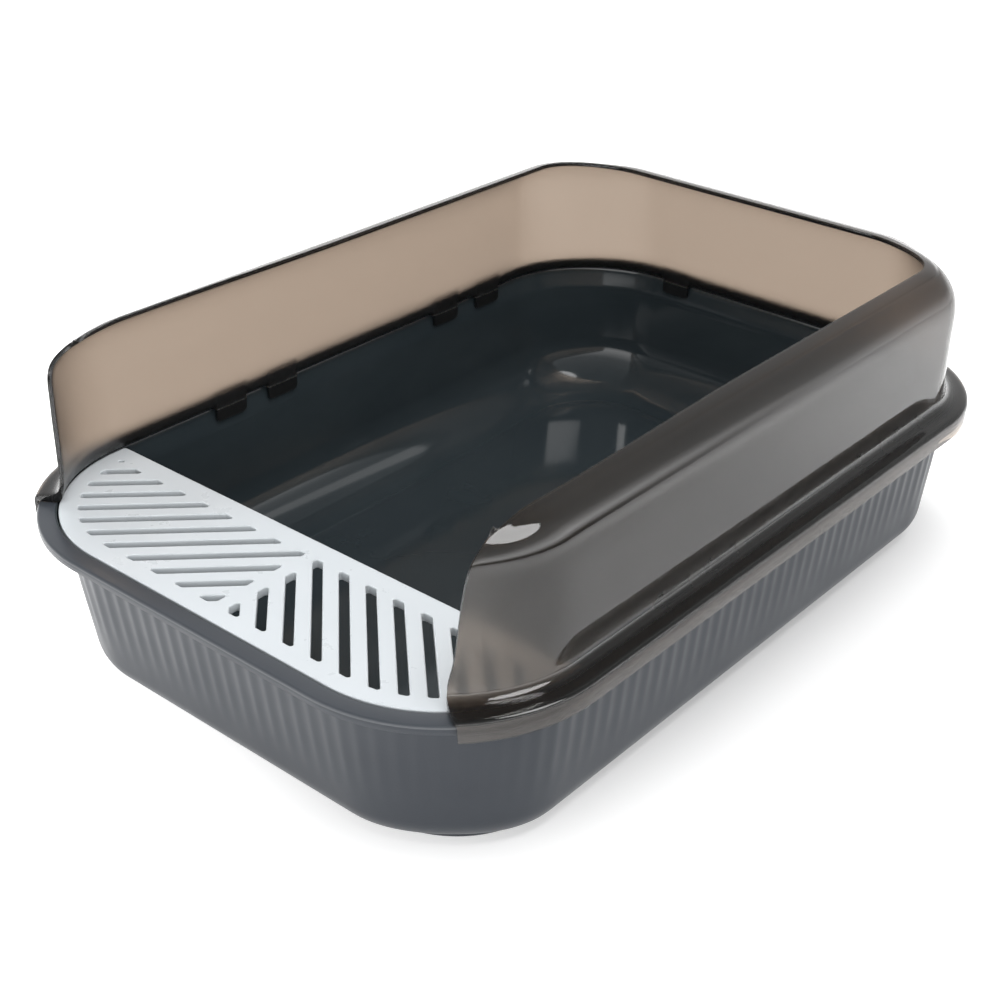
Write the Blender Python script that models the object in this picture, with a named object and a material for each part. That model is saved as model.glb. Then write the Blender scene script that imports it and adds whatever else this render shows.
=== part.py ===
# Semi-enclosed litter box: a dark tray, a translucent U-shaped surround that
# drops over the tray's rim, and a slotted step grate that lies in the tray's
# front end.
#
# Frame: metres, +Z up, the entrance and the grate at -Y. The origin is at the
# middle of the footprint, on the surface that the box stands on.

import bpy
import bmesh
import math
from mathutils import Vector

# ----------------------------------------------------------------- dimensions
# reference outline: the inner edge of the tray's rim, a rounded rectangle
HALF_W = 0.1750          # half of the opening's width
Y_FRONT = -0.2710        # front edge of the opening
Y_REAR = 0.2690          # rear edge of the opening
R_FRONT = 0.0855         # its plan radius at the two front corners
R_REAR = 0.0800          # and at the two rear corners

Z_RIM = 0.0980           # top of the tray's rim and of the grate
RIM_OUT = 0.0111         # the rim's outer edge, beyond the opening
RIM_THICK = 0.0025
RIM_LIP_Z = 0.0927       # bottom of the turned-down lip of the rim
RIM_CUT = 0.0010         # the rim's rear corners are cut back this much at 45 degrees

WALL_T = 0.0027          # tray wall
FLOOR_Z = 0.0055         # inside floor
BASE_Z = 0.0020          # underside of the outer bottom edge
PANEL_Z = 0.0030         # raised underside inside the foot bead
DRAFT_TOP_Z = 0.0895     # where the outer wall meets the step under the rim
WALL_TOP = dict(side=-0.0005, front=-0.0015, rear=-0.0005)
WALL_FOOT = dict(side=-0.0080, front=-0.0150, rear=-0.0048)
CORNER_TOP = dict(front=0.0033, rear=0.0)      # the wall's corners are cut
CORNER_FOOT = dict(front=0.0040, rear=0.0018)  # back this much at 45 degrees
FILLET_OUT = 0.0190
COVE_IN = 0.0300
FOOT_OUT = dict(side=-0.0205, front=-0.0290, rear=-0.0180)   # foot bead, outer edge
FOOT_WIDTH = 0.0085

LEDGE_Z = 0.09235        # what the grate lies on
LEDGE_IN = 0.0032
LEDGE_Y = -0.1740        # the ledge ends here, behind the grate
# behind the grate the wall rises straight to the rim instead: (offset, height)
PLAIN_TOP = ((0.0005, 0.0980), (-0.0001, 0.0972), (-0.0008, 0.0938), (-0.0019, 0.0895))

GRATE_GAP = 0.0010       # grate to rim
GRATE_BOTTOM = 0.09270
GRATE_REAR_Y = -0.1784
GRATE_CORNER_R = R_FRONT - GRATE_GAP
SLOT_W = 0.0055
SLOT_PITCH = 0.01405     # measured across the slots
SLOT_FIRST = -0.03385    # (x + y) / sqrt(2) along the middle of the first slot
SLOT_COUNT = 11
SLOT_REAR_Y = -0.1920
SLOT_FRONT_Y = -0.2587
SLOT_OUT_X = 0.1600
SLOT_MID_X = 0.0045
EYE_X, EYE_Y = 0.1616, -0.1914     # small eye left of the slot that the border cuts off
EYE_LONG, EYE_WIDE = 0.0034, 0.0020

SUR_T = 0.0026           # surround wall
LIP_TAPER = -4.2         # mm that the lip's inner edge comes in towards the rear
LIP_TAPER_END = 0.48     # done at this part of the side
END_STEPS = 8
REAR_STEPS = 10
CLIP_DEPTH = 0.0085
CLIP_Y = (-0.0955, -0.0510, 0.1100, 0.1555)
CLIP_HALF = 0.0125
CLIP_X = 0.0780
CLIP_X_HALF = 0.0110
CLIP_FLANK = 0.0010
TONGUE_OUT, TONGUE_IN = -2.6, -4.1   # mm, inside the rim's inner edge

CX_F, CY_F = HALF_W - R_FRONT, Y_FRONT + R_FRONT
CX_R, CY_R = HALF_W - R_REAR, Y_REAR - R_REAR


def mm(*values):
    return tuple(v / 1000.0 for v in values)


def material(name, rgba, rough, transmission=0.0):
    mat = bpy.data.materials.new(name)
    mat.use_nodes = True
    bsdf = mat.node_tree.nodes["Principled BSDF"]
    bsdf.inputs["Base Color"].default_value = rgba
    bsdf.inputs["Roughness"].default_value = rough
    bsdf.inputs["Metallic"].default_value = 0.0
    bsdf.inputs["Transmission Weight"].default_value = transmission
    mat.diffuse_color = rgba
    return mat


def finish(name, bm, mat, angle=35.0):
    bmesh.ops.recalc_face_normals(bm, faces=bm.faces[:])
    mesh = bpy.data.meshes.new(name)
    bm.to_mesh(mesh)
    bm.free()
    mesh.shade_smooth()
    mesh.set_sharp_from_angle(angle=math.radians(angle))
    mesh.materials.append(mat)
    obj = bpy.data.objects.new(name, mesh)
    bpy.context.scene.collection.objects.link(obj)
    return obj


# ------------------------------------------------------------------ the path
# A station is a point of the reference outline, its outward normal and how
# much it belongs to the sides, the front and the rear.
def arc_station(cx, cy, radius, deg, face):
    a = math.radians(deg)
    n = Vector((math.cos(a), math.sin(a), 0.0))
    w_side = math.cos(a) ** 2
    weights = {"side": w_side, face: 1.0 - w_side}
    return (Vector((cx, cy, 0.0)) + n * radius, n, weights)


def closed_path(side_ys, steps):
    """The whole outline, counter-clockwise from the right side."""
    stations = []
    for y in side_ys:
        stations.append((Vector((HALF_W, y, 0)), Vector((1, 0, 0)), {"side": 1.0}))
    for i in range(1, steps + 1):
        stations.append(arc_station(CX_R, CY_R, R_REAR, 90.0 * i / steps, "rear"))
    for i in range(0, steps):
        stations.append(arc_station(-CX_R, CY_R, R_REAR, 90.0 + 90.0 * i / steps, "rear"))
    for y in reversed(side_ys):
        stations.append((Vector((-HALF_W, y, 0)), Vector((-1, 0, 0)), {"side": 1.0}))
    for i in range(1, steps + 1):
        stations.append(arc_station(-CX_F, CY_F, R_FRONT, 180.0 + 90.0 * i / steps, "front"))
    for i in range(0, steps):
        stations.append(arc_station(CX_F, CY_F, R_FRONT, 270.0 + 90.0 * i / steps, "front"))
    return stations


def at(station, offset, z, corner=None):
    p, n, weights = station
    off = sum(w * offset[k] for k, w in weights.items())
    zz = sum(w * z[k] for k, w in weights.items())
    if corner:
        w = weights["side"]
        for k in weights:
            if k in corner:
                off -= corner[k] * 4 * w * (1 - w)
    return p + n * off + Vector((0, 0, zz))


def same(off, z):
    return (dict(side=off, front=off, rear=off), dict(side=z, front=z, rear=z))


def fillet(foot, top, z0, z1, radius, steps):
    """Arc between the level z0 and the wall that rises from foot to top."""
    lean = math.atan2(top - foot, z1 - z0)
    turn = math.pi / 2 - lean
    tangent = radius * math.tan(turn / 2)
    points = []
    for i in range(steps + 1):
        a = turn * i / steps
        points.append((foot - tangent + radius * math.sin(a),
                       z0 + radius * (1 - math.cos(a))))
    return points


# ------------------------------------------------------------------- the tray
def build_tray():
    faces3 = ("side", "front", "rear")
    rows = []
    corners = {}

    def row(off, z, part=None):
        """part: how far up the wall, for the corners that are cut back."""
        if part is not None:
            corners[len(rows)] = {k: CORNER_FOOT[k] + (CORNER_TOP[k] - CORNER_FOOT[k]) * part
                                  for k in CORNER_FOOT}
        rows.append((off, z))

    foot_out = dict(FOOT_OUT)
    shift = lambda d, v: {k: d[k] + v for k in d}
    level = lambda v: {k: v for k in faces3}
    # underside: raised panel, foot bead, outer bottom edge
    row(shift(foot_out, -FOOT_WIDTH - 0.0010), level(PANEL_Z))
    row(shift(foot_out, -FOOT_WIDTH), level(0.0))
    row(shift(foot_out, -0.0010), level(0.0))
    row(foot_out, level(BASE_Z + 0.0003))
    # bottom fillet and outer wall
    arcs = {k: fillet(WALL_FOOT[k], WALL_TOP[k], BASE_Z, DRAFT_TOP_Z, FILLET_OUT, 4)
            for k in faces3}
    for i in range(1, 5):
        row({k: arcs[k][i][0] for k in faces3}, {k: arcs[k][i][1] for k in faces3},
            arcs["side"][i][1] / DRAFT_TOP_Z)
    row(dict(WALL_TOP), level(DRAFT_TOP_Z), 1.0)
    # step under the rim, rim and its turned-down lip
    for off, z in (mm(2.2, 91.5), mm(2.2, 95.5), mm(8.8, 95.5),
                   (RIM_OUT - 0.0023, RIM_LIP_Z), (RIM_OUT, RIM_LIP_Z),
                   (RIM_OUT, Z_RIM - 0.0012), (RIM_OUT - 0.0005, Z_RIM - 0.0004),
                   (RIM_OUT - 0.0013, Z_RIM)):
        corners[len(rows)] = {"rear": RIM_CUT if off > 0.0030 else 0.0}
        rows.append(same(off, z))
    rows.append(same(0.0005, Z_RIM))
    rows.append(same(0.0, Z_RIM - 0.0005))
    rows.append(same(0.0, LEDGE_Z))
    ledge_row = len(rows)
    rows.append(same(-LEDGE_IN, LEDGE_Z))
    row(*same(-LEDGE_IN - 0.0002, 0.0855), 1.0)
    # inner wall, cove and floor
    coves = {}
    for k in faces3:
        slope = (WALL_TOP[k] - WALL_FOOT[k]) / (DRAFT_TOP_Z - BASE_Z)
        foot = WALL_FOOT[k] + slope * (FLOOR_Z - BASE_Z) - WALL_T
        top = WALL_TOP[k] - WALL_T
        coves[k] = fillet(foot, top, FLOOR_Z, DRAFT_TOP_Z, COVE_IN, 6)
    for i in reversed(range(7)):
        row({k: coves[k][i][0] for k in faces3}, {k: coves[k][i][1] for k in faces3},
            coves["side"][i][1] / DRAFT_TOP_Z)

    stations = closed_path((CY_F, LEDGE_Y - 0.0010, LEDGE_Y + 0.0030, 0.0, CY_R), 10)
    bm = bmesh.new()
    rings = []
    for j, (off, z) in enumerate(rows):
        ring = []
        for st in stations:
            p = at(st, off, z, corners.get(j))
            if p.y > LEDGE_Y and ledge_row - 3 <= j <= ledge_row:
                p = at(st, *same(*PLAIN_TOP[j - ledge_row + 3]))
            ring.append(bm.verts.new(p))
        rings.append(ring)
    count = len(stations)
    for a, b in zip(rings, rings[1:]):
        for i in range(count):
            k = (i + 1) % count
            bm.faces.new((a[i], a[k], b[k], b[i]))
    bm.faces.new(list(reversed(rings[0])))
    bm.faces.new(rings[-1])
    mat = material("tray_dark_plastic", (0.060, 0.068, 0.078, 1.0), 0.28)
    return finish("tray", bm, mat)


# ------------------------------------------------------------------ the grate
def clip_convex(poly, nx, ny, d):
    """Keep the part of a convex polygon where nx*x + ny*y <= d."""
    out = []
    for i, a in enumerate(poly):
        b = poly[(i + 1) % len(poly)]
        da = nx * a[0] + ny * a[1] - d
        db = nx * b[0] + ny * b[1] - d
        if da <= 0:
            out.append(a)
        if (da < 0) != (db < 0) and abs(da - db) > 1e-12:
            t = da / (da - db)
            out.append((a[0] + t * (b[0] - a[0]), a[1] + t * (b[1] - a[1])))
    return out


def slot_polygons():
    """45 degree slots of the right half, cut back to the plain border."""
    inner_r = SLOT_OUT_X - CX_F + 0.0030
    polys = []
    s2 = math.sqrt(0.5)
    for k in range(SLOT_COUNT):
        c = SLOT_FIRST - SLOT_PITCH * k
        # the line (x + y) / sqrt(2) = c, as a strip of SLOT_W
        mid = Vector((c * s2, c * s2))
        along = Vector((s2, -s2))
        across = Vector((s2, s2)) * (SLOT_W / 2)
        a = mid + along * 0.6
        b = mid - along * 0.6
        poly = [tuple(p) for p in (a - across, a + across, b + across, b - across)]
        poly = clip_convex(poly, 0, 1, SLOT_REAR_Y)
        poly = clip_convex(poly, 0, -1, -SLOT_FRONT_Y)
        poly = clip_convex(poly, -1, 0, -SLOT_MID_X)
        poly = clip_convex(poly, 1, 0, SLOT_OUT_X)
        for i in range(1, 8):
            ang = math.radians(90.0 * i / 8)
            nx, ny = math.cos(ang), -math.sin(ang)
            d = nx * CX_F + ny * CY_F + inner_r
            poly = clip_convex(poly, nx, ny, d)
        if len(poly) < 3:
            continue
        area = 0.0
        for i, p in enumerate(poly):
            q = poly[(i + 1) % len(poly)]
            area += (p[0] * q[1] - q[0] * p[1]) / 2
        if abs(area) > 2.0e-5:
            polys.append(poly if area > 0 else poly[::-1])
    a, b = EYE_LONG / 2, EYE_WIDE / 2
    polys.append([(EYE_X + s2 * (u + v), EYE_Y + s2 * (v - u))
                  for u, v in ((-a, -b), (a, -b), (a, b), (-a, b))])
    return polys


def build_grate():
    outline = []
    steps = 12
    half = HALF_W - GRATE_GAP
    outline.append((half, GRATE_REAR_Y - 0.0020))
    outline.append((half - 0.0020, GRATE_REAR_Y))
    outline.append((-half + 0.0020, GRATE_REAR_Y))
    outline.append((-half, GRATE_REAR_Y - 0.0020))
    for i in range(steps + 1):
        a = math.radians(180.0 + 90.0 * i / steps)
        outline.append((-CX_F + GRATE_CORNER_R * math.cos(a),
                        CY_F + GRATE_CORNER_R * math.sin(a)))
    for i in range(steps + 1):
        a = math.radians(270.0 + 90.0 * i / steps)
        outline.append((CX_F + GRATE_CORNER_R * math.cos(a),
                        CY_F + GRATE_CORNER_R * math.sin(a)))
    bm = bmesh.new()
    ring = [bm.verts.new((x, y, GRATE_BOTTOM)) for x, y in outline]
    face = bm.faces.new(ring)
    grown = bmesh.ops.extrude_face_region(bm, geom=[face])
    tops = [v for v in grown["geom"] if isinstance(v, bmesh.types.BMVert)]
    bmesh.ops.translate(bm, verts=tops, vec=(0, 0, Z_RIM - GRATE_BOTTOM))
    mat = material("grate_light_plastic", (0.72, 0.76, 0.79, 1.0), 0.35)
    grate = finish("step_grate", bm, mat)

    cut = bmesh.new()
    for poly in slot_polygons():
        for sx in (1, -1):
            pts = poly if sx > 0 else [(-x, y) for x, y in reversed(poly)]
            base = [cut.verts.new((x, y, GRATE_BOTTOM - 0.004)) for x, y in pts]
            f = cut.faces.new(base)
            grown = bmesh.ops.extrude_face_region(cut, geom=[f])
            tops = [v for v in grown["geom"] if isinstance(v, bmesh.types.BMVert)]
            bmesh.ops.translate(cut, verts=tops, vec=(0, 0, 0.014))
    cutter = finish("slot_cutter", cut, mat)
    cutter.hide_render = True
    cutter.display_type = 'WIRE'
    mod = grate.modifiers.new("slots", 'BOOLEAN')
    mod.operation = 'DIFFERENCE'
    mod.solver = 'EXACT'
    mod.object = cutter
    return grate


# --------------------------------------------------------------- the surround
# Cross-section rows, millimetres beyond the reference outline and above the
# rim: (side offset, height), (rear offset, height), and where the row ends on
# the front corner: (degrees past the side, offset, height).
OUTER = (
    ((13.4, -8.5), (13.4, -8.5), (44.0, 13.4, -8.5)),
    ((13.4, 1.0), (13.4, 1.0), (44.3, 13.4, 1.0)),
    ((12.8, 2.6), (12.8, 2.6), (44.6, 12.8, 2.6)),
    ((11.4, 3.4), (11.4, 3.4), (45.0, 11.4, 3.4)),
    ((4.5, 4.6), (4.5, 4.6), (46.2, 4.5, 4.6)),
    ((0.6, 6.2), (0.3, 6.2), (46.6, 0.6, 6.2)),
    ((-1.2, 8.4), (-1.8, 8.4), (46.9, -1.6, 8.4)),
    ((-1.9, 12.0), (-3.6, 12.0), (46.6, -2.4, 12.0)),
    ((-1.5, 30.0), (-7.0, 30.0), (44.5, -2.1, 27.0)),
    ((-1.0, 52.0), (-10.6, 52.0), (42.9, -1.4, 51.0)),
    ((-0.6, 64.0), (-12.6, 64.5), (41.8, -1.1, 63.9)),
    ((-0.9, 72.0), (-13.9, 72.5), (40.9, -0.8, 71.8)),
    ((-2.6, 79.0), (-16.0, 79.6), (39.7, -1.4, 78.1)),
    ((-6.0, 84.9), (-19.4, 85.3), (38.1, -3.0, 82.2)),
    ((-10.6, 89.2), (-24.6, 90.0), (36.2, -5.3, 85.2)),
    ((-15.8, 92.0), (-32.0, 92.8), (33.8, -7.7, 87.4)),
    ((-18.6, 93.3), (-37.0, 93.7), (31.5, -9.7, 88.8)),
    ((-21.2, 94.0), (-41.7, 94.0), (29.0, -11.7, 89.9)),
)
INNER_FOOT = (
    ((11.55, -8.5), (11.55, -8.5)),
    ((11.55, -0.6), (11.55, -0.6)),
    ((11.55, 0.4), (11.55, 0.4)),
    ((10.0, 0.4), (10.0, 0.4)),
    ((2.5, 0.4), (2.5, 0.4)),
    ((-0.5, 0.6), (-0.5, 0.6)),
    ((-2.8, 2.6), (-3.0, 2.6)),
)
# how far each row's rear corners are cut back at 45 degrees, millimetres
REAR_CUT = (1.0, 1.0, 1.0, 1.0, 1.2, 1.8, 2.2, 2.8, 4.8, 7.0, 8.6, 9.4, 9.6, 9.0, 7.2, 5.2,
            4.0, 3.2)
LIP_WEIGHT = {15: 0.0, 16: 0.5, 17: 1.0}   # share of the taper that a lip row takes


def clip_mark(mark):
    """True at the two edges of a clip tongue."""
    kind, amount, _ = mark
    if kind == "side":
        return any(abs(abs(amount - y) - CLIP_HALF) < 1e-5 for y in CLIP_Y)
    return kind == "rear" and abs(abs(abs(amount) - CLIP_X) - CLIP_X_HALF) < 1e-5


def surround_stations():
    """(kind, amount, sign) along the U, from the right front end round to the left."""
    marks = [("end", 1.0 - i / END_STEPS, 1) for i in range(END_STEPS)]
    ys = {CY_F, -0.1500, -0.0200, 0.0400, CY_R}
    for y in CLIP_Y:
        ys |= {y - CLIP_HALF - CLIP_FLANK, y - CLIP_HALF, y + CLIP_HALF, y + CLIP_HALF + CLIP_FLANK}
    ys = sorted(ys)
    marks += [("side", y, 1) for y in ys]
    marks += [("corner", 90.0 * i / REAR_STEPS, 1) for i in range(1, REAR_STEPS)]
    xs = {CX_R, -CX_R}
    for x in (CLIP_X, -CLIP_X):
        xs |= {x - CLIP_X_HALF - CLIP_FLANK, x - CLIP_X_HALF, x + CLIP_X_HALF,
               x + CLIP_X_HALF + CLIP_FLANK}
    xs = sorted(xs, reverse=True)
    marks += [("rear", x, 1) for x in xs]
    marks += [("corner", 90.0 * i / REAR_STEPS, -1) for i in range(REAR_STEPS - 1, 0, -1)]
    marks += [("side", y, -1) for y in reversed(ys)]
    marks += [("end", (i + 1) / END_STEPS, -1) for i in range(END_STEPS)]
    return marks


def surround_point(mark, side, rear, end, lip, cut=0.0):
    kind, amount, sign = mark
    taper = LIP_TAPER * (lip or 0.0)
    if kind == "end":
        s = amount
        phi = math.radians(end[0] * s)
        w = s * s * (3 - 2 * s) if lip is None else s ** 2.6
        off = side[0] + (end[1] - side[0]) * w
        z = side[1] + (end[2] - side[1]) * w
        r = R_FRONT + off / 1000.0
        x, y = CX_F + r * math.cos(phi), CY_F - r * math.sin(phi)
    elif kind == "side":
        t = min(1.0, (amount - CY_F) / (CY_R - CY_F) / LIP_TAPER_END)
        off = side[0] + taper * t * t * (3 - 2 * t)
        x, y, z = HALF_W + off / 1000.0, amount, side[1]
    elif kind == "corner":
        a = math.radians(amount)
        w = math.sin(a) ** 2
        start = side[0] + taper
        off = start + (rear[0] - start) * w - cut * 4 * w * (1 - w)
        z = side[1] + (rear[1] - side[1]) * w
        r = R_REAR + off / 1000.0
        x, y = CX_R + r * math.cos(a), CY_R + r * math.sin(a)
    else:
        x, y, z = amount, Y_REAR + rear[0] / 1000.0, rear[1]
        return Vector((x, y, Z_RIM + z / 1000.0))
    return Vector((sign * x, y, Z_RIM + z / 1000.0))


def build_surround():
    marks = surround_stations()
    m = len(OUTER)
    grid = []
    for j, (side, rear, end) in enumerate(OUTER):
        lip = LIP_WEIGHT.get(j)
        grid.append([surround_point(mk, side, rear, end, lip, REAR_CUT[j]) for mk in marks])
    n = len(marks)
    # inner skin: the foot by its own rows, the rest one wall thickness inwards
    inner = []
    for j in range(m):
        line = []
        for i in range(n):
            if j < len(INNER_FOOT):
                side, rear = INNER_FOOT[j]
                e = OUTER[j][2]
                if j >= 5 and clip_mark(marks[i]):
                    tongue = TONGUE_OUT if j == 5 else TONGUE_IN
                    side, rear = (tongue, side[1]), (tongue, rear[1])
                line.append(surround_point(marks[i], side, rear, (e[0], side[0], side[1]), None,
                                           REAR_CUT[j] if j < 4 else 1.0))
                continue
            du = grid[j][min(i + 1, n - 1)] - grid[j][max(i - 1, 0)]
            dv = grid[min(j + 1, m - 1)][i] - grid[max(j - 1, 0)][i]
            nrm = du.cross(dv).normalized()
            line.append(grid[j][i] - nrm * SUR_T)
        inner.append(line)

    bm = bmesh.new()
    out_v = [[bm.verts.new(p) for p in line] for line in grid]
    in_v = [[bm.verts.new(p) for p in line] for line in inner]
    foot_faces = {}
    for i in range(n - 1):
        for j in range(m - 1):
            bm.faces.new((out_v[j][i], out_v[j][i + 1], out_v[j + 1][i + 1], out_v[j + 1][i]))
            f = bm.faces.new((in_v[j][i + 1], in_v[j][i], in_v[j + 1][i], in_v[j + 1][i + 1]))
            if j == 5:
                foot_faces[i] = f
        bm.faces.new((out_v[0][i + 1], out_v[0][i], in_v[0][i], in_v[0][i + 1]))
        bm.faces.new((out_v[m - 1][i], out_v[m - 1][i + 1], in_v[m - 1][i + 1], in_v[m - 1][i]))
    for j in range(m - 1):
        bm.faces.new((out_v[j][0], out_v[j + 1][0], in_v[j + 1][0], in_v[j][0]))
        bm.faces.new((out_v[j + 1][-1], out_v[j][-1], in_v[j][-1], in_v[j + 1][-1]))

    # clip tongues: drawn down from the inner foot, just inside the rim
    tongue_z = Z_RIM - CLIP_DEPTH
    for i in range(n - 1):
        a, b = marks[i], marks[i + 1]
        if a[0] != b[0]:
            continue
        mid = (a[1] + b[1]) / 2
        wide = abs(a[1] - b[1])
        on_side = a[0] == "side" and any(
            abs(mid - y) < 0.001 and abs(wide - 2 * CLIP_HALF) < 0.001 for y in CLIP_Y)
        on_rear = a[0] == "rear" and abs(abs(mid) - CLIP_X) < 0.001
        if not (on_side or on_rear):
            continue
        grown = bmesh.ops.extrude_face_region(bm, geom=[foot_faces[i]])
        for v in grown["geom"]:
            if isinstance(v, bmesh.types.BMVert):
                v.co.z = tongue_z
        bmesh.ops.delete(bm, geom=[foot_faces[i]], context='FACES_ONLY')
    bmesh.ops.triangulate(bm, faces=bm.faces[:])
    mat = material("surround_smoke_plastic", (0.40, 0.33, 0.26, 1.0), 0.18, 0.6)
    return finish("surround", bm, mat)


def main():
    for obj in list(bpy.data.objects):
        bpy.data.objects.remove(obj, do_unlink=True)
    build_tray()
    build_grate()
    build_surround()


main()
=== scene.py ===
# Looks of the semi-enclosed litter box: a fluted dark tray, a smoke-tinted
# translucent surround and a pale slotted step grate, on a white studio floor.
import math

import bmesh
import bpy
from mathutils import Matrix, Vector
from mathutils.geometry import delaunay_2d_cdt


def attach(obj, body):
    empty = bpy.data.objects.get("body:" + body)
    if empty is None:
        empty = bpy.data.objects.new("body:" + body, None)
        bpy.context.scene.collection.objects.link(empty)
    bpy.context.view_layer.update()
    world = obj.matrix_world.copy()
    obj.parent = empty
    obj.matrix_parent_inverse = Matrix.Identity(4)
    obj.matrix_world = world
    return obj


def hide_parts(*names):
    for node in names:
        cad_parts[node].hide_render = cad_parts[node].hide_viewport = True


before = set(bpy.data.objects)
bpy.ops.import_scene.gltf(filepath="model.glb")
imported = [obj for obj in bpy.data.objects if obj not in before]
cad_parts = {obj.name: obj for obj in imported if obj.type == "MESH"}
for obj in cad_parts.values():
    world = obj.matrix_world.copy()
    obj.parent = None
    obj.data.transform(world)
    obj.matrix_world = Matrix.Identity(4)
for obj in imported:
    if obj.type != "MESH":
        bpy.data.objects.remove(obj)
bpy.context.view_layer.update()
scene = bpy.context.scene

# ------------------------------------------------------------------ dimensions
HALF_W, Y_FRONT, Y_REAR = 0.1750, -0.2710, 0.2690
R_FRONT, R_REAR = 0.0855, 0.0800
Z_RIM, RIM_OUT, RIM_LIP_Z, RIM_CUT = 0.0980, 0.0111, 0.0927, 0.0010
WALL_T, FLOOR_Z, BASE_Z, PANEL_Z, DRAFT_TOP_Z = 0.0027, 0.0055, 0.0020, 0.0030, 0.0895
WALL_TOP = dict(side=-0.0005, front=-0.0015, rear=-0.0005)
WALL_FOOT = dict(side=-0.0080, front=-0.0150, rear=-0.0048)
CORNER_TOP = dict(front=0.0033, rear=0.0)
CORNER_FOOT = dict(front=0.0040, rear=0.0018)
FILLET_OUT, COVE_IN = 0.0190, 0.0400
FOOT_OUT = dict(side=-0.0205, front=-0.0290, rear=-0.0180)
FOOT_WIDTH = 0.0085
LEDGE_Z, LEDGE_IN, LEDGE_Y = 0.09235, 0.0032, -0.1740
PLAIN_TOP = ((0.0009, 0.0980), (0.0003, 0.0978), (-0.0001, 0.0972), (-0.0004, 0.0955),
             (-0.0008, 0.0938), (-0.0014, 0.0915), (-0.0021, 0.0888), (-0.0030, 0.0855),
             (-0.0037, 0.0822))
GRATE_GAP, GRATE_BOTTOM, GRATE_REAR_Y = 0.0010, 0.09270, -0.1784
SLOT_W, SLOT_PITCH, SLOT_FIRST, SLOT_COUNT = 0.0055, 0.01405, -0.03385, 11
SLOT_REAR_Y, SLOT_FRONT_Y, SLOT_OUT_X, SLOT_MID_X = -0.1920, -0.2587, 0.1600, 0.0045
SLOT_CORNER_R = 0.0013
EDGE_R = 0.0007
SKIN = 0.0001
SUR_T = 0.0026
LIP_TAPER, LIP_TAPER_END = -4.2, 0.48
CLIP_DEPTH = 0.0085
CLIP_Y = (-0.0955, -0.0510, 0.1100, 0.1555)
CLIP_HALF, CLIP_X, CLIP_X_HALF = 0.0125, 0.0780, 0.0110
CLIP_EDGES = (-0.0010, 0.0, 0.0005, 0.0014, 0.0030)     # stations near a tongue's end
TONGUE_OUT, TONGUE_IN = -2.6, -4.1
RIB_PITCH_FRONT, RIB_PITCH_SIDE = 0.01055, 0.01120
RIB_HEIGHT = 0.00027
EYE_X, EYE_Y, EYE_LONG, EYE_WIDE, EYE_R = 0.1616, -0.1914, 0.0034, 0.0020, 0.0007

SUR_ROUGH_OUT = (0.020, 0.035)
SUR_ROUGH_IN = (0.285, 0.325)
SUR_TINT, SUR_DENSITY = (0.248, 0.124, 0.0, 1.0), 646.0
SUR_HAZE, SUR_HAZE_SHARE = (0.96, 0.95, 0.94, 1.0), 0.006

CX_F, CY_F = HALF_W - R_FRONT, Y_FRONT + R_FRONT
CX_R, CY_R = HALF_W - R_REAR, Y_REAR - R_REAR


# --------------------------------------------------------------------- helpers
def smoothstep(a, b, x):
    t = min(1.0, max(0.0, (x - a) / (b - a)))
    return t * t * (3 - 2 * t)


def to_object(name, bm, materials, angle=35.0, recalc=True):
    if recalc:
        bmesh.ops.recalc_face_normals(bm, faces=bm.faces[:])
    mesh = bpy.data.meshes.new(name)
    bm.to_mesh(mesh)
    bm.free()
    mesh.shade_smooth()
    if angle:
        mesh.set_sharp_from_angle(angle=math.radians(angle))
    for mat in materials:
        mesh.materials.append(mat)
    obj = bpy.data.objects.new(name, mesh)
    scene.collection.objects.link(obj)
    return obj


def steps_between(a, b, size):
    n = max(1, int(math.ceil(abs(b - a) / size - 1e-6)))
    return [a + (b - a) * i / n for i in range(n)]


def spline(rows, knots, counts, first=0):
    """Smooth curve through rows (flat tuples); straight before row `first`."""
    out = []
    last = len(rows) - 1
    for j in range(last):
        for i in range(counts[j]):
            u = i / counts[j]
            p1, p2 = rows[j], rows[j + 1]
            if j < first:
                out.append((j + u, tuple(a + (b - a) * u for a, b in zip(p1, p2))))
                continue
            h = knots[j + 1] - knots[j]
            vals = []
            for c in range(len(p1)):
                d = (p2[c] - p1[c]) / h
                if j > first:
                    h0 = knots[j] - knots[j - 1]
                    d0 = (p1[c] - rows[j - 1][c]) / h0
                    m1 = (h0 * d + h * d0) / (h0 + h)
                else:
                    m1 = d
                if j + 1 < last:
                    h2 = knots[j + 2] - knots[j + 1]
                    d2 = (rows[j + 2][c] - p2[c]) / h2
                    m2 = (h2 * d + h * d2) / (h2 + h)
                else:
                    m2 = d
                u2, u3 = u * u, u * u * u
                vals.append(p1[c] * (2 * u3 - 3 * u2 + 1) + m1 * h * (u3 - 2 * u2 + u)
                            + p2[c] * (3 * u2 - 2 * u3) + m2 * h * (u3 - u2))
            out.append((j + u, tuple(vals)))
    out.append((float(last), rows[-1]))
    return out


# ------------------------------------------------------------------- materials
def new_material(name):
    mat = bpy.data.materials.new(name)
    mat.use_nodes = True
    nt = mat.node_tree
    bsdf = nt.nodes["Principled BSDF"]
    tex = nt.nodes.new("ShaderNodeTexCoord")
    return mat, nt, bsdf, tex


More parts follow.
